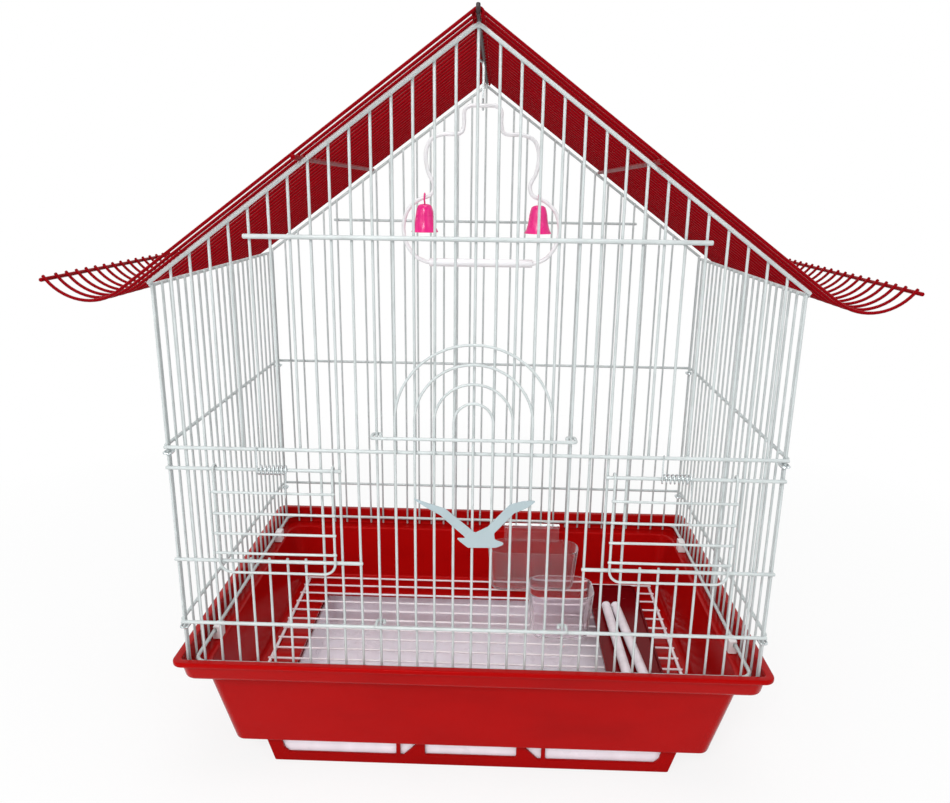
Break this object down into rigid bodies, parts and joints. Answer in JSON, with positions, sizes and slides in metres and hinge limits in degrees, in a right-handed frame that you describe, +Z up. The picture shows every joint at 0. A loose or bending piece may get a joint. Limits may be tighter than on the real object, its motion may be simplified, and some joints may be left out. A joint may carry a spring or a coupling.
{
  "type": "bird cage",
  "caption": "House-shaped wire bird cage on a plastic tub, with a sliding door, sprung feeder doors, a pull-out tray and a swing with bells.",
  "frame": {"origin": "middle of the footprint, on the surface that the cage stands on", "axes": "+Z up, -Y towards the front with the doors, +X to the right as seen from the front"},
  "size_m": [0.4626, 0.2576, 0.4603],
  "materials": {
    "white_coated_wire": "smooth white powder coating, slightly grey-green",
    "red_coated_wire": "glossy deep red coating",
    "dark_wire": "nearly black",
    "bright_wire": "bright zinc-plated wire",
    "painted_sheet": "pale blue-green paint",
    "red_plastic": "glossy moulded red",
    "dark_red_plastic": "glossy dark red",
    "white_plastic": "satin white",
    "perch_plastic": "pale pinkish white",
    "clear_plastic": "clear, thin-walled",
    "magenta_plastic": "bright magenta"
  },
  "bodies": {
    "cage": {"front_panel": "white_coated_wire", "front_wing_left": "white_coated_wire", "front_wing_right": "white_coated_wire", "front_gable": "white_coated_wire", "back_panel": "white_coated_wire", "side_panel_left": "white_coated_wire", "side_panel_right": "white_coated_wire", "roof_left": "red_coated_wire", "roof_right": "red_coated_wire", "ridge_wire": "dark_wire", "base_ring": "white_coated_wire", "tub": "red_plastic", "floor_grille": "white_coated_wire", "feeder_cup_back": "clear_plastic", "feeder_cup_front": "clear_plastic", "perch_trough": "dark_red_plastic", "perch_left": "perch_plastic", "perch_right": "perch_plastic", "feeder_spring_left": "bright_wire", "feeder_spring_right": "bright_wire", "tub_clip_left_front": "white_plastic", "tub_clip_left_back": "white_plastic", "tub_clip_right_front": "white_plastic", "tub_clip_right_back": "white_plastic", "corner_ring_left_front_low": "bright_wire", "corner_ring_left_front_high": "bright_wire", "corner_ring_left_back_low": "bright_wire", "corner_ring_left_back_high": "bright_wire", "corner_ring_right_front_low": "bright_wire", "corner_ring_right_front_high": "bright_wire", "corner_ring_right_back_low": "bright_wire", "corner_ring_right_back_high": "bright_wire"},
    "main_door": {"main_door": "white_coated_wire", "bird_ornament": "painted_sheet"},
    "feeder_door_left": {"feeder_door_left": "white_coated_wire"},
    "feeder_door_right": {"feeder_door_right": "white_coated_wire"},
    "drawer": {"drawer_front": "red_plastic", "drawer_tray": "white_plastic"},
    "swing_hook": {"swing_hook": "bright_wire"},
    "swing": {"swing_frame": "white_plastic", "swing_perch": "white_plastic"},
    "bell_left": {"bell_left": "magenta_plastic"},
    "bell_right": {"bell_right": "magenta_plastic"}
  },
  "joints": [
    {"name": "main_door_slide", "type": "slide", "parent": "cage", "child": "main_door", "axis": [0, 0, 1], "range_m": [0, 0.1]},
    {"name": "feeder_door_left_hinge", "type": "hinge", "parent": "cage", "child": "feeder_door_left", "pos_m": [-0.1149, -0.1172, 0.2176], "axis": [-1, 0, 0], "range_deg": [0, 80], "stiffness_Nm_per_rad": 0.01, "springref_deg": -22.92, "deforming": ["feeder_spring_left"]},
    {"name": "feeder_door_right_hinge", "type": "hinge", "parent": "cage", "child": "feeder_door_right", "pos_m": [0.1149, -0.1172, 0.2176], "axis": [-1, 0, 0], "range_deg": [0, 80], "stiffness_Nm_per_rad": 0.01, "springref_deg": -22.92, "deforming": ["feeder_spring_right"]},
    {"name": "drawer_slide", "type": "slide", "parent": "cage", "child": "drawer", "axis": [0, -1, 0], "range_m": [0, 0.15]},
    {"name": "swing_sway", "type": "hinge", "parent": "cage", "child": "swing_hook", "pos_m": [0, 0, 0.45614], "axis": [0, 1, 0], "range_deg": [-12, 12]},
    {"name": "swing_pitch", "type": "hinge", "parent": "swing_hook", "child": "swing", "pos_m": [0, 0, 0.427], "axis": [1, 0, 0], "range_deg": [-20, 20]},
    {"name": "bell_left_tilt", "type": "hinge", "parent": "swing", "child": "bell_left", "pos_m": [-0.038, 0, 0.36917], "axis": [1, 0, 0], "range_deg": [-25, 25]},
    {"name": "bell_right_tilt", "type": "hinge", "parent": "swing", "child": "bell_right", "pos_m": [0.038, 0, 0.36917], "axis": [1, 0, 0], "range_deg": [-25, 25]}
  ]
}
